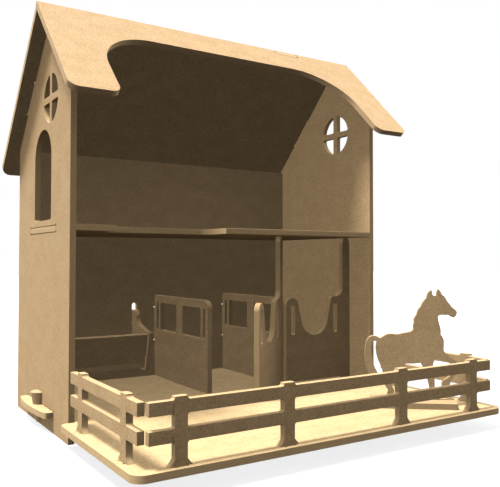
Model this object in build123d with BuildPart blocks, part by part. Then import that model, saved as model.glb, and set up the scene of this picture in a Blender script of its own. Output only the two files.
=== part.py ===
from build123d import *

import os
from math import acos, atan2, cos, degrees, hypot, radians, sin, sqrt, tan

# A knock-down toy stable, cut from one thickness of fibreboard and put together with tabs, slots and pegs.
# Millimetres, +Z up, +X to the right of someone facing the stalls, -Y towards them.
# The origin lies on the ground under the middle of the whole toy.

# Sheet stock and the router bit
sheet = 6.0
slot_play = 0.8  # clearance on each side of a tab in its slot
settle_gap = 0.1  # under a loft's tab and over a ground floor's tab in their slots
relief_radius = 1.2  # round relief at each slot corner
relief_inset = 1.4  # of a relief in a slot's short side, from the long side
bit_radius = 1.6  # smallest inside corner of an opening
running_gap = 0.3  # between faces that pass each other

# House
house_width = 384.0  # over the outer faces of the gable walls
wall_depth = 192.0
front_height = 360.0
rear_height = 300.0
stall_width = 97.0  # clear width of the middle stall and of the right one

# Windows
round_window_radius = 25.3
round_window_height = 337.5
window_bar = 7.0
arched_window_width = 62.0
arched_window_sill = 213.0
arched_window_spring = 278.0
arched_window_setback = 93.0  # from the walls' front edges to its middle
sill_corner = 3.0

# Roof plates, both at 45 degrees so that they meet square at the ridge
gable_overhang = 15.0  # of both plates past the gable walls
front_slope_length = 148.7
rear_slope_length = 215.0
ridge_lip = 1.4  # of the front plate past the rear plate's face
roof_corner = 10.0
cutout_width = 317.8
cutout_shift = 1.1  # of its middle to the right
cutout_top = 34.2  # below the ridge, along the slope
cutout_corner = 65.0
ridge_tab_width = 31.4
ridge_tab_x = 104.5
ridge_play = 0.3  # between that tab and the far side of its slot
slope_tab_length = 40.4
slope_tab_place = 105.0  # down the rear slope to its middle

# Floors
floor_bottom = 15.0
loft_bottom = 200.0
yard_left_overhang = 9.0  # past the gable wall
yard_right_overhang = 12.3
yard_depth = 174.0
yard_gap = 3.0  # in front of the gable walls
yard_front_corner = 11.0
yard_rear_corner = 6.0
loft_tab_length = 93.5
loft_tab_setback = 92.5
rear_tab_length = 60.0
rear_tab_spread = 206.0
notch_width = 123.0
notch_depth = 39.0
notch_margin = 2.0  # from the left divider's face
notch_corner = 12.0

# Tongues of the floor and their pegs
tongue_width = 98.0
tongue_setback = 97.0
tongue_reach = 8.0
tongue_bulge = 12.5
tongue_corner = 3.0
peg_hole_radius = 7.15
peg_play = 0.15
peg_taper = 10.5  # degrees from its axis
peg_length = 32.0
peg_drop = 19.0  # of its foot below the floor's top
peg_edge = 0.6

# Dividers
divider_setback = 44.0
divider_height = 104.5
divider_corner = 9.0
divider_mullion = 16.0
divider_window_width = 46.0
divider_window_height = 35.0
divider_window_rise = 77.75  # from the floor to the middle of the windows and slots
divider_bar = 5.5
divider_slot = 5.5
divider_foot_tab = 50.0
divider_foot_place = 56.0  # behind the divider's front edge
divider_rear_tab = 41.4
divider_rear_rise = 67.5

# Doors
door_axis_setback = 40.0
hinge_inset = 7.0  # from the stall's right-hand side to the door's axis
door_overlap = 4.5  # of the free edge over the divider's front edge
door_rise = 3.0  # of the panel above the floor
door_corner = 2.0
post_width = 12.0
tang_width = 9.0
pivot_play = 0.1
stile_radius = 9.0
stile_rise = 95.4
swoop_radius = 20.5  # the scoop in the top edge
swoop_rise = 78.5
shoulder_radius = 5.0
shoulder_rise = 104.5
shoulder_reach = 20.5  # from the axis to the middle of its rounding
post_fillet = 10.5
door_slot_width = 6.0
door_slot_length = 37.0
door_slot_rise = 78.0
stile_slot_inset = 10.5
post_slot_reach = 17.8
neck_drop = 7.0  # where the post starts to narrow, below the loft
neck_length = 4.0
left_door_angle = 40.0  # how far the left door stands open

# Feed trough
bracket_spacing = 109.0
bracket_bottom = 36.0
bracket_top = 107.2
bracket_ledge = 4.5  # flat top in front of the wall
ogee_convex = 8.5
ogee_concave = 10.0
bracket_shelf = 43.4  # from the wall to the shelf's start
bracket_tip = 53.7
bracket_tip_thickness = 4.0
bracket_waist = 44.6
bracket_waist_height = 45.8
bracket_foot = 42.8
bracket_foot_corner = 3.0
shelf_height = 83.0
hook_depth = 24.0
hook_drop = 6.8
hook_gap = 0.3
hook_side_play = 0.5
mortise_head = 26.5  # of the hooks' round-headed mortises, over their lower edge
hook_corner = 2.0
trough_board_length = 36.6
trough_board_slant = 14.7
trough_board_foot = 39.7  # from the wall to its lower front corner
trough_floor_bottom = 38.8
trough_floor_depth = 39.5
trough_tab = 14.0
trough_tab_proud = 1.5

# Fences
fence_front_inset = 5.5  # from the yard's edge
fence_side_inset = 7.0
side_fence_length = 152.6
side_fence_setback = 9.2  # from the yard's rear edge
fence_height = 51.3
lower_rail_rise = 17.8
upper_rail_rise = 38.5
rail_width = 10.2
fence_post = 10.8
fence_foot = 19.3
fence_foot_height = 5.2
fence_fillet = 2.0
fence_tab = 8.0
front_posts = (-163.2, -64.8, 64.8, 163.2)
side_posts = (-50.0, 50.0)

# Horse and its slab
horse_side_inset = 68.8  # from the yard's right edge to the slab's middle
horse_front_inset = 59.1  # from the yard's front edge
horse_turn = -38.5  # about +Z
slab_length = 84.0
slab_depth = 45.0
slab_corner = 1.5
horse_bar = 0.9
horse_tab = 50.0

# Places that follow from these
outer_x = house_width / 2
inner_x = outer_x - sheet
roof_width = house_width + 2 * gable_overhang
yard_width = yard_left_overhang + house_width + yard_right_overhang
yard_x = (yard_right_overhang - yard_left_overhang) / 2
apex_setback = (rear_height + wall_depth - front_height) / 2
apex_height = front_height + apex_setback
yard_reach = yard_gap + yard_depth
rear_reach = apex_setback + (rear_slope_length + sheet) / sqrt(2)
front_y = (yard_reach - rear_reach) / 2
rear_y = front_y + wall_depth
back_wall_y = rear_y - sheet
apex_y = front_y + apex_setback
floor_top = floor_bottom + sheet
tongue_y = front_y + tongue_setback
yard_front_y = front_y - yard_reach
yard_rear_y = front_y - yard_gap
divider_right_x = inner_x - stall_width - sheet / 2
divider_left_x = divider_right_x - stall_width - sheet
divider_places = {"left": divider_left_x, "right": divider_right_x}
door_axis_y = front_y + door_axis_setback
door_axes = {"left": divider_right_x - sheet / 2 - hinge_inset, "right": inner_x - hinge_inset}
door_reach = stall_width - hinge_inset + door_overlap
pivot_hole_radius = hypot(tang_width, sheet) / 2 + pivot_play
manger_x = (divider_left_x - sheet / 2 - inner_x) / 2
rear_tab_places = [(-rear_tab_spread / 2, back_wall_y), (rear_tab_spread / 2, back_wall_y)]
fence_front_y = yard_front_y + fence_front_inset + sheet / 2
fence_side_x = yard_width / 2 - fence_side_inset - sheet / 2
fence_front_length = 2 * (fence_side_x - sheet / 2 - running_gap)
side_fence_y = yard_rear_y - side_fence_setback - side_fence_length / 2
horse_x = yard_x + yard_width / 2 - horse_side_inset
horse_y = yard_front_y + horse_front_inset

front_slope = Plane(origin=(0, apex_y, apex_height), x_dir=(1, 0, 0), z_dir=(0, -1, 1))
rear_slope = Plane(origin=(0, apex_y, apex_height), x_dir=(1, 0, 0), z_dir=(0, 1, 1))


def cut_slot(width, height, inset=0.0):
    """A tab's slot in the sketch at hand: play all round and reliefs at its corners or inset from them."""
    wide = width + 2 * slot_play
    high = height + 2 * slot_play
    Rectangle(wide, high, mode=Mode.SUBTRACT)
    with GridLocations(wide, high - 2 * inset, 2, 2):
        Circle(relief_radius, mode=Mode.SUBTRACT)


def on_circle(centre, radius, angle):
    """The point of a circle at an angle in degrees from its +X."""
    return centre[0] + radius * cos(radians(angle)), centre[1] + radius * sin(radians(angle))


def crossing_line(first, first_radius, second, second_radius, turn):
    """The angle of both touch radii of a line that passes between two circles, on the turn's side."""
    dx = second[0] - first[0]
    dz = second[1] - first[1]
    spread = degrees(acos((first_radius + second_radius) / hypot(dx, dz)))
    return degrees(atan2(dz, dx)) + turn * spread


os.makedirs("parts", exist_ok=True)

# Gable walls
with BuildSketch() as round_window:
    Circle(round_window_radius)
    Rectangle(2 * round_window_radius, window_bar, mode=Mode.SUBTRACT)
    Rectangle(window_bar, 2 * round_window_radius, mode=Mode.SUBTRACT)
    fillet(round_window.vertices(), bit_radius)

with BuildSketch() as arched_window:
    with Locations((0, (arched_window_sill - arched_window_spring) / 2)):
        Rectangle(arched_window_width, arched_window_spring - arched_window_sill)
    fillet(arched_window.vertices().group_by(Axis.Y)[0], sill_corner)
    Circle(arched_window_width / 2)

slope_tab_y = apex_y + slope_tab_place / sqrt(2)
slope_tab_z = apex_height - slope_tab_place / sqrt(2)

tab_rise = slot_play - settle_gap  # of a slot over a loft's tab that rests in it
for side, wall_x, loft_slot_rise in (("left", -outer_x, 0), ("right", inner_x, tab_rise)):
    with BuildPart() as wall:
        with BuildSketch(Plane.YZ.offset(wall_x)):
            eaves_and_ridge = ((rear_y, rear_height), (apex_y, apex_height), (front_y, front_height))
            Polygon((front_y, 0), (rear_y, 0), *eaves_and_ridge, align=None)
            with Locations((slope_tab_y, slope_tab_z)):
                Rectangle(slope_tab_length, 2 * sheet, rotation=-45)
            with Locations((apex_y, round_window_height)):
                add(round_window.sketch, mode=Mode.SUBTRACT)
            if side == "left":
                with Locations((front_y + arched_window_setback, arched_window_spring)):
                    add(arched_window.sketch, mode=Mode.SUBTRACT)
            with Locations((front_y + loft_tab_setback, loft_bottom + sheet / 2 + loft_slot_rise)):
                cut_slot(loft_tab_length, sheet)
            with Locations((tongue_y, floor_bottom + sheet / 2)):
                cut_slot(tongue_width, sheet)
        extrude(amount=sheet)
    wall.part.label = f"wall_{side}"
    export_step(wall.part, f"parts/wall_{side}.step")

# Back wall, between the gable walls
hook_neck = bracket_top - hook_depth + hook_drop  # the height that the hooks' necks rest on
with BuildSketch() as hook_mortise:
    head_radius = sheet / 2 + hook_side_play
    Rectangle(2 * head_radius, mortise_head - head_radius, align=(Align.CENTER, Align.MIN))
    with Locations((0, mortise_head - head_radius)):
        Circle(head_radius)
    with Locations((-head_radius, 0), (head_radius, 0)):
        Circle(relief_radius)

with BuildPart() as wall_back:
    with BuildSketch(Plane.XZ.offset(-back_wall_y)):
        with Locations((0, rear_height / 2)):
            Rectangle(2 * inner_x, rear_height)
        with Locations(*[(x, floor_top + divider_rear_rise) for x in divider_places.values()]):
            cut_slot(sheet, divider_rear_tab)
        with Locations(*[(manger_x + side * bracket_spacing / 2, hook_neck) for side in (-1, 1)]):
            add(hook_mortise.sketch, mode=Mode.SUBTRACT)
        for x, _ in rear_tab_places:
            for slot_bottom in (floor_bottom - tab_rise, loft_bottom + tab_rise):
                with Locations((x, slot_bottom + sheet / 2)):
                    cut_slot(rear_tab_length, sheet, relief_inset)
    extrude(amount=-sheet)
wall_back.part.label = "wall_back"
export_step(wall_back.part, "parts/wall_back.step")

# Front roof plate, a frame round a wide cut-out, with the ridge slot for the rear plate's tab
with BuildSketch() as roof_cutout:
    with Locations((cutout_shift, -(cutout_top + front_slope_length) / 2)):
        Rectangle(cutout_width, front_slope_length - cutout_top)
    fillet(roof_cutout.vertices().group_by(Axis.Y)[-1], cutout_corner)

with BuildPart() as roof_front:
    with BuildSketch(front_slope) as front_plate:
        ridge_reach = sheet + ridge_lip
        with Locations((0, (ridge_reach - front_slope_length) / 2)):
            Rectangle(roof_width, front_slope_length + ridge_reach)
        add(roof_cutout.sketch, mode=Mode.SUBTRACT)
        fillet(front_plate.vertices().group_by(Axis.Y)[0], roof_corner)
        tab_room = sheet + ridge_play - slot_play
        with Locations((ridge_tab_x, tab_room / 2)):
            cut_slot(ridge_tab_width, tab_room, relief_inset)
    extrude(amount=sheet)
roof_front.part.label = "roof_front"
export_step(roof_front.part, "parts/roof_front.step")

# Rear roof plate, butted under the front one
with BuildPart() as roof_rear:
    with BuildSketch(rear_slope) as rear_plate:
        with Locations((0, rear_slope_length / 2)):
            Rectangle(roof_width, rear_slope_length)
        fillet(rear_plate.vertices().group_by(Axis.Y)[-1], roof_corner)
        with Locations((ridge_tab_x, 0)):
            Rectangle(ridge_tab_width, 2 * sheet)
        wall_middle = outer_x - sheet / 2
        with Locations((-wall_middle, slope_tab_place), (wall_middle, slope_tab_place)):
            cut_slot(sheet, slope_tab_length)
    extrude(amount=sheet)
roof_rear.part.label = "roof_rear"
export_step(roof_rear.part, "parts/roof_rear.step")

# Loft floor
with BuildPart() as loft_floor:
    with BuildSketch(Plane.XY.offset(loft_bottom)):
        with Locations((0, (front_y + back_wall_y) / 2)):
            Rectangle(2 * inner_x, back_wall_y - front_y)
        with Locations((0, front_y + loft_tab_setback)):
            Rectangle(2 * outer_x, loft_tab_length)
        with Locations(*rear_tab_places):
            Rectangle(rear_tab_length, 2 * sheet)
        notch_right = divider_left_x - sheet / 2 - notch_margin
        with Locations((notch_right - notch_width / 2, front_y + notch_depth / 2)):
            Rectangle(notch_width, notch_depth, mode=Mode.SUBTRACT)
        with Locations(*[(x, door_axis_y) for x in door_axes.values()]):
            Circle(pivot_hole_radius, mode=Mode.SUBTRACT)
    extrude(amount=sheet)
    inner_corner = (notch_right, front_y + notch_depth, loft_bottom + sheet / 2)
    fillet(loft_floor.edges().filter_by(Axis.Z).sort_by_distance(inner_corner)[0], notch_corner)
loft_floor.part.label = "loft_floor"
export_step(loft_floor.part, "parts/loft_floor.step")

# Ground floor and yard in one plate; its tongues pass the gable walls and take the pegs
with BuildSketch() as tongue:
    with BuildLine():
        half = tongue_width / 2
        Polyline((tongue_reach, half), (-sheet, half), (-sheet, -half), (tongue_reach, -half))
        ThreePointArc((tongue_reach, half), (tongue_bulge, 0), (tongue_reach, -half))
    make_face()
    fillet(tongue.vertices().filter_by(lambda v: v.X > 0), tongue_corner)
    with BuildSketch(mode=Mode.SUBTRACT):
        Circle(peg_hole_radius)
        Rectangle(peg_hole_radius, 2 * peg_hole_radius, align=(Align.MAX, Align.CENTER), mode=Mode.SUBTRACT)

with BuildPart() as ground_floor:
    with BuildSketch(Plane.XY.offset(floor_bottom)) as plate:
        with Locations((yard_x, (yard_front_y + yard_rear_y) / 2)):
            Rectangle(yard_width, yard_depth)
        fillet(plate.vertices().group_by(Axis.Y)[0], yard_front_corner)
        fillet(plate.vertices().group_by(Axis.Y)[-1], yard_rear_corner)
        with Locations((0, (yard_rear_y - sheet + back_wall_y) / 2)):
            Rectangle(2 * inner_x, back_wall_y - yard_rear_y + sheet)
        with Locations(*rear_tab_places):
            Rectangle(rear_tab_length, 2 * sheet)
        with Locations(Location((outer_x, tongue_y, 0)), Location((-outer_x, tongue_y, 0), (0, 0, 180))):
            add(tongue.sketch)
        for x in divider_places.values():
            with Locations((x, front_y + divider_setback + divider_foot_place)):
                cut_slot(sheet, divider_foot_tab)
        with Locations(*[(x, door_axis_y) for x in door_axes.values()]):
            Circle(pivot_hole_radius, mode=Mode.SUBTRACT)
        with Locations(*[(yard_x + x, fence_front_y) for x in front_posts]):
            cut_slot(fence_tab, sheet)
        for side in (-1, 1):
            with Locations(*[(yard_x + side * fence_side_x, side_fence_y + y) for y in side_posts]):
                cut_slot(sheet, fence_tab)
    extrude(amount=sheet)
ground_floor.part.label = "ground_floor"
export_step(ground_floor.part, "parts/ground_floor.step")

# Pegs, half cones whose flat lies on the gable wall
peg_foot = floor_top - peg_drop
peg_foot_radius = peg_hole_radius - peg_play - peg_drop * tan(radians(peg_taper))
peg_top_radius = peg_foot_radius + peg_length * tan(radians(peg_taper))
for side, sign in (("left", -1), ("right", 1)):
    with BuildPart() as peg:
        with Locations((sign * outer_x, tongue_y, peg_foot + peg_length / 2)):
            Cone(peg_foot_radius, peg_top_radius, peg_length)
        chamfer(peg.edges(), peg_edge)
        split(bisect_by=Plane.YZ.offset(sign * outer_x), keep=Keep.TOP if sign > 0 else Keep.BOTTOM)
    peg.part.label = f"peg_{side}"
    export_step(peg.part, f"parts/peg_{side}.step")

# Dividers between the stalls
divider_front_y = front_y + divider_setback
divider_middle_y = (divider_front_y + back_wall_y) / 2
window_offset = (divider_mullion + divider_window_width) / 2
slot_offset = divider_mullion / 2 + divider_window_width + divider_bar + divider_slot / 2
with BuildSketch() as divider_window:
    RectangleRounded(divider_window_width, divider_window_height, bit_radius)

for side, divider_x in divider_places.items():
    with BuildPart() as divider:
        with BuildSketch(Plane.YZ.offset(divider_x - sheet / 2)) as panel:
            with Locations((divider_middle_y, floor_top + divider_height / 2)):
                Rectangle(back_wall_y - divider_front_y, divider_height)
            fillet(panel.vertices().group_by(Axis.Y)[-1].sort_by(Axis.X)[0], divider_corner)
            with Locations((divider_front_y + divider_foot_place, floor_top)):
                Rectangle(divider_foot_tab, 2 * sheet)
            with Locations((back_wall_y, floor_top + divider_rear_rise)):
                Rectangle(2 * sheet, divider_rear_tab)
            window_z = floor_top + divider_window_rise
            for turn in (-1, 1):
                with Locations((divider_middle_y + turn * window_offset, window_z)):
                    add(divider_window.sketch, mode=Mode.SUBTRACT)
                with Locations((divider_middle_y + turn * slot_offset, window_z)):
                    SlotOverall(divider_window_height, divider_slot, rotation=90, mode=Mode.SUBTRACT)
        extrude(amount=sheet)
    divider.part.label = f"divider_{side}"
    export_step(divider.part, f"parts/divider_{side}.step")

# Stall doors, drawn with the turning axis as local Y; the panel reaches towards -X
stile = (stile_radius - door_reach, floor_top + stile_rise)
shoulder = (-shoulder_reach, floor_top + shoulder_rise - shoulder_radius)
swoop = ((stile_slot_inset - door_reach - post_slot_reach) / 2, floor_top + swoop_rise)
stile_line = crossing_line(stile, stile_radius, swoop, swoop_radius, 1)
shoulder_line = crossing_line(shoulder, shoulder_radius, swoop, swoop_radius, -1)
door_top = floor_top + shoulder_rise
post_side = post_width / 2
fillet_centre = (-post_side - post_fillet, door_top + post_fillet)
neck_foot = loft_bottom - neck_drop
neck_top = neck_foot + neck_length
loft_top = loft_bottom + sheet
door_foot = floor_top + running_gap

with BuildSketch() as door_outline:
    with BuildLine():
        Polyline(
            (stile[0] - stile_radius, stile[1]),
            (stile[0] - stile_radius, floor_top + door_rise),
            (-post_side, floor_top + door_rise),
            (-post_side, door_foot),
            (-tang_width / 2, door_foot),
            (-tang_width / 2, floor_bottom),
            (tang_width / 2, floor_bottom),
            (tang_width / 2, door_foot),
            (post_side, door_foot),
            (post_side, neck_foot),
        )
        Spline((post_side, neck_foot), (tang_width / 2, neck_top), tangents=((0, 1), (0, 1)))
        Polyline(
            (tang_width / 2, neck_top),
            (tang_width / 2, loft_top),
            (-tang_width / 2, loft_top),
            (-tang_width / 2, neck_top),
        )
        Spline((-tang_width / 2, neck_top), (-post_side, neck_foot), tangents=((0, -1), (0, -1)))
        Line((-post_side, neck_foot), (-post_side, fillet_centre[1]))
        ThreePointArc(
            (-post_side, fillet_centre[1]),
            on_circle(fillet_centre, post_fillet, -45),
            (fillet_centre[0], door_top),
        )
        Line((fillet_centre[0], door_top), (shoulder[0], door_top))
        ThreePointArc(
            (shoulder[0], door_top),
            on_circle(shoulder, shoulder_radius, (90 + shoulder_line % 360) / 2),
            on_circle(shoulder, shoulder_radius, shoulder_line),
        )
        Line(
            on_circle(shoulder, shoulder_radius, shoulder_line),
            on_circle(swoop, swoop_radius, shoulder_line + 180),
        )
        ThreePointArc(
            on_circle(swoop, swoop_radius, shoulder_line + 180),
            on_circle(swoop, swoop_radius, -90),
            on_circle(swoop, swoop_radius, stile_line + 180),
        )
        Line(on_circle(swoop, swoop_radius, stile_line + 180), on_circle(stile, stile_radius, stile_line))
        ThreePointArc(
            on_circle(stile, stile_radius, stile_line),
            on_circle(stile, stile_radius, 90),
            on_circle(stile, stile_radius, 180),
        )
    make_face()
    top_corners = door_outline.vertices().filter_by(lambda v: abs(v.Y - floor_top - door_rise) < 0.01)
    fillet(top_corners, door_corner)
    slot_z = floor_top + door_slot_rise
    with Locations((stile_slot_inset - door_reach, slot_z), (-post_slot_reach, slot_z)):
        SlotOverall(door_slot_length, door_slot_width, rotation=90, mode=Mode.SUBTRACT)

for side, opened in (("left", left_door_angle), ("right", 0.0)):
    turned_x = (cos(radians(opened)), sin(radians(opened)), 0)
    facing = (sin(radians(opened)), -cos(radians(opened)), 0)
    with BuildPart() as door:
        with BuildSketch(Plane(origin=(door_axes[side], door_axis_y, 0), x_dir=turned_x, z_dir=facing)):
            add(door_outline.sketch)
        extrude(amount=sheet / 2, both=True)
    door.part.label = f"door_{side}"
    export_step(door.part, f"parts/door_{side}.step")

# Feed trough: two hooked brackets, a slanted front board and a bottom board tabbed through them
board_centre_y = back_wall_y - trough_board_foot + (sheet * cos(radians(trough_board_slant))) / 2
board_centre_y -= trough_board_length * sin(radians(trough_board_slant)) / 2
board_centre_z = trough_floor_bottom + sheet + trough_board_length * cos(radians(trough_board_slant)) / 2
board_centre_z += sheet * sin(radians(trough_board_slant)) / 2
trough_floor_y = back_wall_y - trough_floor_depth / 2
trough_floor_z = trough_floor_bottom + sheet / 2

for side, sign in (("left", -1), ("right", 1)):
    bracket_x = manger_x + sign * bracket_spacing / 2
    wall_y = back_wall_y
    convex = (wall_y - bracket_ledge, bracket_top - ogee_convex)
    valley_z = bracket_top - ogee_convex - ogee_concave
    concave = (convex[0] - ogee_convex - ogee_concave, bracket_top - ogee_convex)
    hook_y = rear_y + hook_gap
    with BuildPart() as bracket:
        with BuildSketch(Plane.YZ.offset(bracket_x - sheet / 2)) as profile:
            with BuildLine():
                ThreePointArc(
                    (convex[0], bracket_top),
                    on_circle(convex, ogee_convex, 135),
                    (convex[0] - ogee_convex, convex[1]),
                )
                ThreePointArc(
                    (convex[0] - ogee_convex, convex[1]),
                    on_circle(concave, ogee_concave, -45),
                    (concave[0], valley_z),
                )
                Polyline(
                    (concave[0], valley_z),
                    (wall_y - bracket_shelf, shelf_height),
                    (wall_y - bracket_tip, shelf_height),
                    (wall_y - bracket_tip, shelf_height - bracket_tip_thickness),
                    (wall_y - bracket_waist, bracket_waist_height),
                    (wall_y - bracket_foot, bracket_bottom),
                    (wall_y, bracket_bottom),
                    (wall_y, hook_neck),
                    (hook_y, hook_neck),
                    (hook_y, hook_neck - hook_drop),
                    (hook_y + sheet, hook_neck - hook_drop),
                    (hook_y + sheet, bracket_top),
                    (convex[0], bracket_top),
                )
            make_face()
            foot = (wall_y - bracket_foot, bracket_bottom, 0)
            fillet(profile.vertices().sort_by_distance(foot)[0], bracket_foot_corner)
            fillet(profile.vertices().group_by(Axis.X)[-1], hook_corner)
            with Locations(Location((board_centre_y, board_centre_z, 0), (0, 0, trough_board_slant))):
                cut_slot(sheet, trough_tab)
            with Locations((trough_floor_y, trough_floor_z)):
                cut_slot(trough_tab, sheet)
        extrude(amount=sheet)
    bracket.part.label = f"manger_bracket_{side}"
    export_step(bracket.part, f"parts/manger_bracket_{side}.step")

board_width = bracket_spacing - sheet
tabbed_width = bracket_spacing + sheet + 2 * trough_tab_proud
slant = radians(trough_board_slant)
board_plane = Plane(
    origin=(manger_x, board_centre_y, board_centre_z), x_dir=(1, 0, 0), z_dir=(0, -cos(slant), -sin(slant))
)
with BuildPart() as manger_front:
    with BuildSketch(board_plane):
        Rectangle(board_width, trough_board_length)
        Rectangle(tabbed_width, trough_tab)
    extrude(amount=sheet / 2, both=True)
manger_front.part.label = "manger_front"
export_step(manger_front.part, "parts/manger_front.step")

with BuildPart() as manger_bottom:
    with BuildSketch(Plane.XY.offset(trough_floor_bottom)):
        with Locations((manger_x, trough_floor_y)):
            Rectangle(board_width, trough_floor_depth)
            Rectangle(tabbed_width, trough_tab)
    extrude(amount=sheet)
manger_bottom.part.label = "manger_bottom"
export_step(manger_bottom.part, "parts/manger_bottom.step")


# Fences round the yard: two rails, capped posts with flared feet, a tab under each post
with BuildSketch() as fence_flare:
    foot_half = fence_foot / 2
    post_half = fence_post / 2
    slopes = ((post_half, fence_foot_height), (-post_half, fence_foot_height))
    Polygon((-foot_half, 0), (foot_half, 0), *slopes, align=None)

fences = {
    "front": (Plane.XZ.offset(-fence_front_y), yard_x, fence_front_length, front_posts),
    "left": (Plane.YZ.offset(yard_x - fence_side_x), side_fence_y, side_fence_length, side_posts),
    "right": (Plane.YZ.offset(yard_x + fence_side_x), side_fence_y, side_fence_length, side_posts),
}
for name, (fence_plane, middle, length, posts) in fences.items():
    with BuildPart() as fence:
        with BuildSketch(fence_plane) as outline:
            with Locations((middle, floor_top + lower_rail_rise), (middle, floor_top + upper_rail_rise)):
                Rectangle(length, rail_width, align=(Align.CENTER, Align.MIN))
            with Locations(*[(middle + x, floor_top) for x in posts]):
                Rectangle(fence_post, fence_height, align=(Align.CENTER, Align.MIN))
            rail_corners = outline.vertices().filter_by(lambda v: floor_top < v.Y < floor_top + fence_height)
            rail_ends = rail_corners.group_by(Axis.X)
            fillet([v for group in rail_ends[1:-1] for v in group], fence_fillet)
            with Locations(*[(middle + x, floor_top) for x in posts]):
                add(fence_flare.sketch)
                Rectangle(fence_tab, 2 * sheet)
        extrude(amount=sheet / 2, both=True)
    fence.part.label = f"fence_{name}"
    export_step(fence.part, f"parts/fence_{name}.step")

# Horse: outline as strokes, measured from the slab's right-hand end and its top
rump_line = ((-79.1, 58.9), (-80.2, 52.6), (-79.6, 46.8), (-77.8, 40.1), (-75.2, 34.2), (-73, 27.6))
hind_hoof_back = ((-73, 27.6), (-71.8, 19.9), (-70.7, 13.1), (-68.2, 9.8), (-67.6, 6.7), (-69, 4.5))
hind_hoof_front = (
    (-63.1, 5.3), (-61.5, 7.6), (-62.8, 11.9), (-64.6, 15.1), (-63.9, 19.5),
    (-61.1, 23.2),
)
hind_leg_back = ((-61.1, 23.2), (-58.2, 17.5), (-57.2, 12.3), (-57.9, 6.1), (-58.2, 0))
hind_leg_front = ((-51.3, 0), (-52.5, 5.2), (-52.9, 13.5), (-51.8, 23.9), (-49.8, 37))
belly_line = ((-49.8, 37), (-41.8, 36.9), (-34.3, 37.8))
fore_leg_back = (
    (-34.3, 37.8), (-31.7, 33.6), (-28.9, 26.9), (-26.3, 18.7), (-24.7, 11.5),
    (-24.2, 5.3), (-25.2, 0),
)
fore_leg_front = (
    (-18.5, 0), (-19.6, 5.4), (-20.1, 13.1), (-20.2, 21.4), (-21.8, 30.7),
    (-21.7, 35.8), (-20.3, 40.1), (-18.1, 42.5),
)
raised_leg_back = (
    (-18.1, 42.5), (-14.6, 41.2), (-9.5, 39.8), (-4.5, 37.7), (-2.1, 34.1),
    (-2.7, 28.9), (-4.7, 24.6), (-8.1, 22.1), (-11.5, 19.9),
)
fore_hoof = ((-11.5, 19.9), (-12.2, 16.9), (-11.5, 11.9))
raised_leg_front = (
    (-6.3, 11.7), (-5.1, 15.5), (-3.1, 19.9), (0.1, 24.5), (3.3, 29.8),
    (4.8, 34.4), (3.2, 39), (-1.8, 42.9), (-7.1, 46.8), (-10.6, 50.9),
)
chest_line = ((-10.6, 50.9), (-10.5, 56.7), (-10.6, 61.7), (-12.1, 65.2), (-13.8, 68.1))
throat_line = ((-13.8, 68.1), (-13.6, 71.7), (-14.8, 77.5), (-16, 82), (-16.2, 86.4))
jaw_line = (
    (-16.2, 86.4), (-13.8, 87.8), (-9.2, 87.8), (-5.6, 87.8), (-2.4, 85.8),
    (-0.1, 85.4), (2, 87.6), (3, 90.1),
)
nose_line = ((3, 90.1), (1.6, 93), (-1.1, 95.2), (-3.2, 97.5))
face_line = ((-3.2, 97.5), (-5.3, 100.4), (-7.1, 102.7), (-8.8, 105.9), (-12.2, 108.7))
front_ear_face = ((-12.2, 108.7), (-13.3, 111.7), (-15.9, 114.7))
front_ear_back = ((-15.9, 114.7), (-17, 112.1), (-17.4, 108.5))
poll_line = ((-17.4, 108.5), (-19.3, 107.5), (-21.3, 108.4), (-22.1, 110.7), (-22.8, 113.7))
rear_ear = ((-22.8, 113.7), (-25.5, 111.6), (-27.1, 108.3), (-27.6, 105.2))
mane_crest = ((-27.6, 105.2), (-30.9, 101.8), (-33.4, 96.5))
mane_upper = ((-33.4, 96.5), (-36.3, 93.2), (-37.8, 88.1))
mane_lower = ((-37.8, 88.1), (-40, 84.9), (-40.8, 82.1), (-40.3, 79.8))
mane_foot = ((-40.3, 79.8), (-41.5, 76.8), (-41, 73.2))
back_line = (
    (-41, 73.2), (-44.6, 70), (-51.7, 68.6), (-57.7, 67.1), (-63.5, 67.6),
    (-68.7, 67), (-72.8, 64.7), (-76, 62.8),
)
tail_outside = (
    (-76, 62.8), (-79.3, 64.7), (-83, 65.3), (-86.7, 64), (-89.6, 60),
    (-91.2, 54), (-91.9, 45.1), (-91.5, 37.8), (-89.9, 31.5), (-86, 25.5),
    (-78.6, 20.7),
)
tail_inside = (
    (-78.6, 20.7), (-78, 26), (-80.7, 31.1), (-83, 37.6), (-84.4, 43.6),
    (-85.3, 50.4), (-85, 56.1), (-83.2, 59.4), (-80.9, 60), (-79.1, 58.9),
)
strokes = (
    rump_line, hind_hoof_back, hind_hoof_front, hind_leg_back, hind_leg_front, belly_line,
    fore_leg_back, fore_leg_front, raised_leg_back, fore_hoof, raised_leg_front, chest_line,
    throat_line, jaw_line, nose_line, face_line, front_ear_face, front_ear_back,
    poll_line, rear_ear, mane_crest, mane_upper, mane_lower, mane_foot,
    back_line, tail_outside, tail_inside,
)

slab_top = floor_top + sheet
turn = radians(horse_turn)
along = (cos(turn), sin(turn), 0)
horse_middle = slab_length / 2
horse_plane = Plane(origin=(horse_x, horse_y, slab_top), x_dir=along, z_dir=(sin(turn), -cos(turn), 0))
with BuildPart() as horse:
    with BuildSketch(horse_plane):
        with BuildLine() as horse_outline:
            for stroke in strokes:
                Spline(*[(u + horse_middle, h) for u, h in stroke])
            for before, after in zip(strokes, strokes[1:] + strokes[:1]):
                if before[-1] != after[0]:
                    Line(*[(u + horse_middle, h) for u, h in (before[-1], after[0])])
        make_face()
        with Locations((0, horse_bar / 2)):
            Rectangle(slab_length, horse_bar)
        Rectangle(horse_tab, 2 * sheet)
    extrude(amount=sheet / 2, both=True)
horse.part.label = "horse"
export_step(horse.part, "parts/horse.step")

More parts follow.
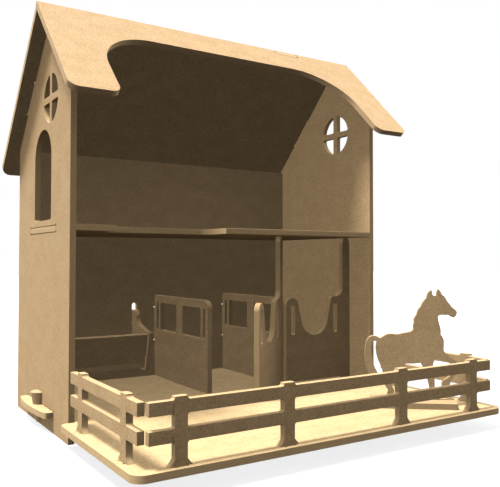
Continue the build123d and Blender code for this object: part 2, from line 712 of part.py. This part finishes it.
slab_plane = Plane(origin=(horse_x, horse_y, floor_top), x_dir=along, z_dir=(0, 0, 1))
with BuildPart() as horse_base:
    with BuildSketch(slab_plane):
        RectangleRounded(slab_length, slab_depth, slab_corner)
        cut_slot(horse_tab, sheet)
    extrude(amount=sheet)
horse_base.part.label = "horse_base"
export_step(horse_base.part, "parts/horse_base.step")
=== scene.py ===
from math import radians

import bpy
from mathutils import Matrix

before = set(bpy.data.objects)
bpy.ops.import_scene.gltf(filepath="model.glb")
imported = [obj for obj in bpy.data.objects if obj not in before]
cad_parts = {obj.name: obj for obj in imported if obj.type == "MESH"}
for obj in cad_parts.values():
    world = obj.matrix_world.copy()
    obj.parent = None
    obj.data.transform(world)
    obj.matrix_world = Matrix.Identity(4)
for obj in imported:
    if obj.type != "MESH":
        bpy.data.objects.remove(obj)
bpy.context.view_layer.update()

# Gable walls. Each is one board of raw 6 mm MDF, cut on a router from the same outline, with a barred round
# window under the ridge; the left one has an arched window too. They stand on the ground and carry the rest:
# the tabs of both floors and of the roof pass through them.


def linear(hex_colour):
    """A shader's linear colour from an sRGB hex string."""
    channels = [int(hex_colour[i : i + 2], 16) / 255 for i in (1, 3, 5)]
    return (*[c / 12.92 if c <= 0.04045 else ((c + 0.055) / 1.055) ** 2.4 for c in channels], 1.0)


def add_node(tree, kind, sockets=(), **settings):
    """Adds a shader node with its settings, and a value or a link for each socket named."""
    node = tree.nodes.new("ShaderNode" + kind)
    for setting, value in settings.items():
        setattr(node, setting, value)
    for socket, value in dict(sockets).items():
        if isinstance(value, bpy.types.NodeSocket):
            tree.links.new(value, node.inputs[socket])
        else:
            node.inputs[socket].default_value = value
    return node


def raw_mdf(name, face, shade, lie, seed):
    """Raw MDF, wood fibre pressed with resin and left bare: matt, evenly tan faces that are faintly cloudy
    and flecked with short fibres, and routed edges of the same tan with fine press layers. lie turns a
    board from flat on its back, thickness up, to how it stands; seed gives each board marks of its own."""
    material = bpy.data.materials.new(name)
    material.use_nodes = True
    tree = material.node_tree
    tree.nodes.clear()
    lie = tuple(radians(angle) for angle in lie)
    place = add_node(tree, "TexCoord")
    board = add_node(
        tree, "VectorRotate", {"Vector": place.outputs["Object"], "Rotation": lie},
        rotation_type="EULER_XYZ", invert=True,
    )
    facing = add_node(
        tree, "VectorRotate", {"Vector": place.outputs["Normal"], "Rotation": lie},
        rotation_type="EULER_XYZ", invert=True,
    )
    through = add_node(tree, "SeparateXYZ", {"Vector": facing.outputs[0]})
    flatness = add_node(tree, "Math", {0: through.outputs["Z"]}, operation="ABSOLUTE")

    def between(value, low, high, most=1.0):
        """A share that rises from nought to most as a pattern's value goes from low to high."""
        return add_node(
            tree, "MapRange", {"Value": value, "From Min": low, "From Max": high, "To Max": most}
        ).outputs[0]

    def grain(millimetres, detail=2.0, distortion=0.0):
        """A pattern whose marks have these sizes along the board, across it and through it."""
        cells = [size / 1000 for size in millimetres]
        shifted = add_node(tree, "VectorMath", {0: board.outputs[0], 1: (seed, seed, seed)}, operation="ADD")
        scaled = add_node(tree, "VectorMath", {0: shifted.outputs[0], 1: cells}, operation="DIVIDE")
        noise = add_node(
            tree, "TexNoise",
            {"Vector": scaled.outputs[0], "Scale": 1.0, "Detail": detail, "Distortion": distortion},
        )
        return noise.outputs["Fac"]

    def mixed(share, first, second):
        """One colour laid over another by a share."""
        return add_node(tree, "Mix", {0: share, 6: first, 7: second}, data_type="RGBA").outputs[2]

    # Clouds 20 mm across, where the fibre mat lay thicker before it was pressed, and a fine mottle in them.
    clouds = between(grain((20, 16, 20), detail=4.0), 0.36, 0.64)
    mottle = between(grain((2.6, 2.2, 2.4), detail=3.0), 0.4, 0.68, 0.3)
    resin_brown = linear("#A08058")
    toned = mixed(mottle, mixed(clouds, linear(face), linear(shade)), resin_brown)
    # Fibre bundles, 2 to 4 mm long. Real ones are 0.1 mm wide; these are 0.7 mm, so that they show.
    dark_bundles = between(grain((4.0, 0.7, 2.0), distortion=0.6), 0.56, 0.72, 0.34)
    pale_bundles = between(grain((0.7, 3.2, 2.0), distortion=0.6), 0.56, 0.72, 0.4)
    dark_fibre, pale_fibre = linear("#94785A"), linear("#E6D2B0")
    fibred = mixed(pale_bundles, mixed(dark_bundles, toned, dark_fibre), pale_fibre)
    # Specks of bark under 1 mm across, drawn half as large again so that they show.
    specks = between(grain((1.6, 1.6, 1.6), detail=1.0), 0.6, 0.74, 0.5)
    bark_brown = linear("#75593D")
    faces = mixed(specks, fibred, bark_brown)
    # The routed edge: press layers 0.4 mm apart, and the cutter's upright chatter 1.2 mm apart.
    layers = between(grain((9.0, 9.0, 0.4)), 0.4, 0.62, 0.3)
    chatter = between(grain((1.2, 1.2, 12.0)), 0.45, 0.7, 0.3)
    rubbed_brown = linear("#A58663")
    edges = mixed(chatter, mixed(layers, linear(face), rubbed_brown), linear(shade))
    colour = mixed(between(flatness.outputs[0], 0.8, 0.95), edges, faces)
    # Sanding leaves a nap about 1 mm across.
    nap = add_node(
        tree, "Bump", {"Height": grain((0.9, 0.9, 0.9), detail=3.0), "Distance": 0.0002, "Strength": 0.25}
    )
    sanded = add_node(
        tree, "BsdfPrincipled",
        {"Base Color": colour, "Roughness": 0.8, "IOR": 1.5, "Specular IOR Level": 0.15,
         "Normal": nap.outputs[0]},
    )
    add_node(tree, "OutputMaterial", {"Surface": sanded.outputs[0]})
    return material


broken_arris = 0.00025  # m, what a rub with fine sandpaper takes off a sharp corner
same_corner = 0.000002  # m, within which corners of a board's faces are one
sharp = radians(40)  # the least turn between two faces that the sandpaper breaks


def dress(node, material):
    """Gives a piece its material and breaks its sharp arrises."""
    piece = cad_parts[node]
    piece.data.materials.clear()
    piece.data.materials.append(material)
    weld = piece.modifiers.new("one_skin", "WELD")
    weld.merge_threshold = same_corner
    rub = piece.modifiers.new("broken_arris", "BEVEL")
    rub.width = broken_arris
    rub.segments = 2
    rub.limit_method = "ANGLE"
    rub.angle_limit = sharp
    piece.modifiers.new("flat_faces", "WEIGHTED_NORMAL")


across_x = (90, 0, 90)  # how a board stands whose faces look to the sides
dress("wall_left", raw_mdf("mdf_wall_left", "#CEAD7F", "#C7A477", across_x, 0.0))
# The right wall gets a paler tan than the left one. This is painted light, for the light on its shaded inner
# face.
dress("wall_right", raw_mdf("mdf_wall_right", "#E2BE8C", "#DBB584", across_x, 1.0))

# Back wall. One board of the same MDF between the gable walls, slotted for the tabs of the floors and the
# partitions and mortised for the trough's hooks. It slides onto those tabs from behind.
along_x = (90, 0, 0)  # how a board stands whose faces look to the front and the back
# The back wall gets a paler tan than the other boards. This is painted light, for the light on its shaded
# inner face.
dress("wall_back", raw_mdf("mdf_wall_back", "#DAB98B", "#D0AF80", along_x, 3.0))

# Loft floor. A plain MDF board with one corner routed away for a ladder, so that hay can drop through. It is
# held by long tabs in all three walls and holds the doors' upper pivots.
level = (0, 0, 0)
dress("loft_floor", raw_mdf("mdf_loft_floor", "#D2B284", "#C8A778", level, 6.0))

# Ground floor and yard. One large MDF board, whose front half is the yard. Rounded tongues reach out through
# the gable walls, and the partitions, doors and fences are slotted into it.
# The ground floor gets a paler tan than the other boards. This is painted light, for the bright sun on the
# yard.
dress("ground_floor", raw_mdf("mdf_ground_floor", "#DCBD8D", "#D2B281", level, 7.0))

# Pegs. Half cones turned from beech, whose flat lies on the gable wall; tapped down through the tongues,
# they draw the walls tight, and they pull out by hand.


def turned_beech(name, seed):
    """Turned beech, bare: close, pale tan wood with fine upright grain and short dark flecks."""
    material = bpy.data.materials.new(name)
    material.use_nodes = True
    tree = material.node_tree
    tree.nodes.clear()
    place = add_node(tree, "TexCoord")
    shifted = add_node(tree, "VectorMath", {0: place.outputs["Object"], 1: (seed, 0, 0)}, operation="ADD")

    def streaks(millimetres, low, high, most):
        """A share of upright marks of these sizes."""
        cells = [size / 1000 for size in millimetres]
        scaled = add_node(tree, "VectorMath", {0: shifted.outputs[0], 1: cells}, operation="DIVIDE")
        noise = add_node(tree, "TexNoise", {"Vector": scaled.outputs[0], "Scale": 1.0, "Detail": 3.0})
        return add_node(
            tree, "MapRange",
            {"Value": noise.outputs["Fac"], "From Min": low, "From Max": high, "To Max": most},
        ).outputs[0]

    # Growth rings 1.5 mm apart, drawn as upright bands, and flecks of ray tissue 2 mm long.
    rings = streaks((1.5, 1.5, 30.0), 0.35, 0.65, 1.0)
    flecks = streaks((0.5, 0.5, 2.0), 0.6, 0.72, 0.6)
    early_wood, late_wood, ray_brown = linear("#CFAF82"), linear("#BB9A6C"), linear("#8F6D47")
    banded = add_node(tree, "Mix", {0: rings, 6: early_wood, 7: late_wood}, data_type="RGBA")
    flecked = add_node(tree, "Mix", {0: flecks, 6: banded.outputs[2], 7: ray_brown}, data_type="RGBA")
    bump = add_node(tree, "Bump", {"Height": rings, "Distance": 0.0001, "Strength": 0.3})
    wood = add_node(
        tree, "BsdfPrincipled",
        {"Base Color": flecked.outputs[2], "Roughness": 0.6, "IOR": 1.5, "Normal": bump.outputs[0]},
    )
    add_node(tree, "OutputMaterial", {"Surface": wood.outputs[0]})
    return material


for seed, node in enumerate(("peg_left", "peg_right")):
    dress(node, turned_beech(f"beech_{node}", seed))

# Partitions. Two low MDF boards with a pair of windows each, which part the stalls. Each stands on a tab in
# the ground floor and is held to the back wall by another.
# The partitions get a slightly darker tan than the other boards. This is painted shade, for the dim stalls
# they stand in.
for seed, node in enumerate(("divider_left", "divider_right")):
    dress(node, raw_mdf(f"mdf_{node}", "#C2A379", "#B89970", across_x, 10.0 + seed))

# Stall doors. MDF boards with a scoop for the horse's neck and a tall post, whose narrow ends turn in round
# holes in the ground floor and the loft. The left one stands open by 40 degrees.
left_door_angle = 40
# Both doors get a darker tan than the other boards. This is painted shade, for the shadow they stand in.
dress("door_left", raw_mdf("mdf_door_left", "#BA9C72", "#B0926A", (90, 0, left_door_angle), 12.0))
dress("door_right", raw_mdf("mdf_door_right", "#BA9C72", "#B0926A", along_x, 13.0))

# Feed trough. Two MDF brackets hang on the back wall by hooks through its mortises, and a slanted front
# board and a bottom board are tabbed between them.
for seed, node in enumerate(("manger_bracket_left", "manger_bracket_right")):
    dress(node, raw_mdf(f"mdf_{node}", "#CCAC80", "#C3A276", across_x, 14.0 + seed))
front_board_lean = 14.7
dress("manger_front", raw_mdf("mdf_manger_front", "#CCAC80", "#C3A276", (90 + front_board_lean, 0, 0), 16.0))
dress("manger_bottom", raw_mdf("mdf_manger_bottom", "#CCAC80", "#C3A276", level, 17.0))

# Roof. Two MDF boards at 45 degrees: the rear one lies on the gable walls' slopes, over their tabs, and the
# front one is routed out to a frame, so that hands reach the loft. They lock at the ridge by a tab.
roof_pitch = 45
dress("roof_rear", raw_mdf("mdf_roof_rear", "#D6B588", "#CCAB7D", (-roof_pitch, 0, 0), 5.0))
dress("roof_front", raw_mdf("mdf_roof_front", "#D0AF84", "#C7A67B", (roof_pitch, 0, 0), 4.0))

# Fences. Three runs of MDF rails and posts, each cut in one piece, round the yard. The posts have flared feet
# and stand by tabs in the yard's slots.
for seed, node in enumerate(("fence_left", "fence_right")):
    dress(node, raw_mdf(f"mdf_{node}", "#CCAC80", "#C3A276", across_x, 18.0 + seed))
dress("fence_front", raw_mdf("mdf_fence_front", "#CCAC80", "#C3A276", along_x, 20.0))

# Horse. A flat horse cut out of MDF, which stands by one long tab in a small slab. It is loose in the yard.
horse_turn = -38.5
dress("horse", raw_mdf("mdf_horse", "#CAAA7E", "#C0A075", (90, 0, horse_turn), 21.0))
dress("horse_base", raw_mdf("mdf_horse_base", "#CCAC80", "#C3A276", (0, 0, horse_turn), 22.0))

# Studio. A sheet of pale paper under the toy runs out into a white room and keeps a soft shadow. A broad key
# lamp and a pale sky overhead light the tops, and softer lamps the right side and the back. Three without
# shadows, above, left and in front, fill the inside.


def seen_share(tree):
    """One for what the camera sees, straight or by gloss or glass, and nought for bounced light."""
    rays = add_node(tree, "LightPath").outputs
    mirrored = add_node(
        tree, "Math", {0: rays["Is Camera Ray"], 1: rays["Is Glossy Ray"]}, operation="MAXIMUM"
    )
    return add_node(
        tree, "Math", {0: mirrored.outputs[0], 1: rays["Is Transmission Ray"]}, operation="MAXIMUM"
    ).outputs[0]


reach = 6.0  # m, of the paper to each side
own_white = 0.72  # share of the paper's white that no shadow takes away
floor_mesh = bpy.data.meshes.new("studio_floor")
floor_mesh.from_pydata(
    [(-reach, -reach, 0), (reach, -reach, 0), (reach, reach, 0), (-reach, reach, 0)], [], [(0, 1, 2, 3)]
)
studio_floor = bpy.data.objects.new("studio_floor", floor_mesh)
bpy.context.scene.collection.objects.link(studio_floor)
paper = bpy.data.materials.new("studio_paper")
paper.use_nodes = True
tree = paper.node_tree
tree.nodes.clear()
bounced = add_node(tree, "BsdfDiffuse", {"Color": linear("#5F5C57")})
shadowed = add_node(tree, "BsdfDiffuse", {"Color": linear("#FFFFFF")})
glow = add_node(tree, "Emission", {"Color": linear("#FFFFFF"), "Strength": 1.0})
pale = add_node(tree, "MixShader", {0: own_white, 1: shadowed.outputs[0], 2: glow.outputs[0]})
shown = add_node(tree, "MixShader", {0: seen_share(tree), 1: bounced.outputs[0], 2: pale.outputs[0]})
add_node(tree, "OutputMaterial", {"Surface": shown.outputs[0]})
floor_mesh.materials.append(paper)

world = bpy.data.worlds.new("studio_room")
bpy.context.scene.world = world
world.use_nodes = True
tree = world.node_tree
tree.nodes.clear()
tone = add_node(
    tree, "Mix", {0: seen_share(tree), 6: linear("#0C0B09"), 7: linear("#FFFFFF")}, data_type="RGBA"
)
room = add_node(tree, "Background", {"Color": tone.outputs[2], "Strength": 1.0})
add_node(tree, "OutputWorld", {"Surface": room.outputs[0]})


def softbox(name, strength, spread, tilt, shadow=True):
    """A distant lamp as wide as spread degrees of sky, turned from straight down by tilt."""
    lamp = bpy.data.lights.new(name, "SUN")
    lamp.energy = strength
    lamp.angle = radians(spread)
    lamp.use_shadow = shadow
    body = bpy.data.objects.new(name, lamp)
    body.rotation_euler = [radians(angle) for angle in tilt]
    bpy.context.scene.collection.objects.link(body)


softbox("key", 5.0, 14, (-4, -18.5, 0))
softbox("sky", 1.0, 130, (0, 0, 0))
softbox("left", 0.88, 20, (0, -79, 0), shadow=False)
softbox("above", 1.2, 20, (0, 0, 0), shadow=False)
softbox("front", 0.28, 20, (105, 0, 0), shadow=False)
softbox("right", 1.5, 40, (0, 72, 0))
softbox("rear", 2.2, 40, (-72, 0, 0))

picture_width = 500.0  # px
focal_length = 657.27  # px
camera = bpy.data.cameras.new("camera")
camera.sensor_width = 36.0
camera.lens = focal_length * camera.sensor_width / picture_width
camera.shift_x = 0.00246
camera.shift_y = -0.00396
camera_body = bpy.data.objects.new("camera", camera)
camera_body.location = (-0.38269, -0.62999, 0.17337)
camera_body.rotation_euler = [radians(angle) for angle in (91.48, -0.06, -32.68)]
bpy.context.scene.collection.objects.link(camera_body)
bpy.context.scene.camera = camera_body
bpy.context.scene.view_settings.view_transform = "Standard"
# The boards throw no light on one another, or the tan inside would turn orange; the fill lamps stand in.
bpy.context.scene.cycles.diffuse_bounces = 0
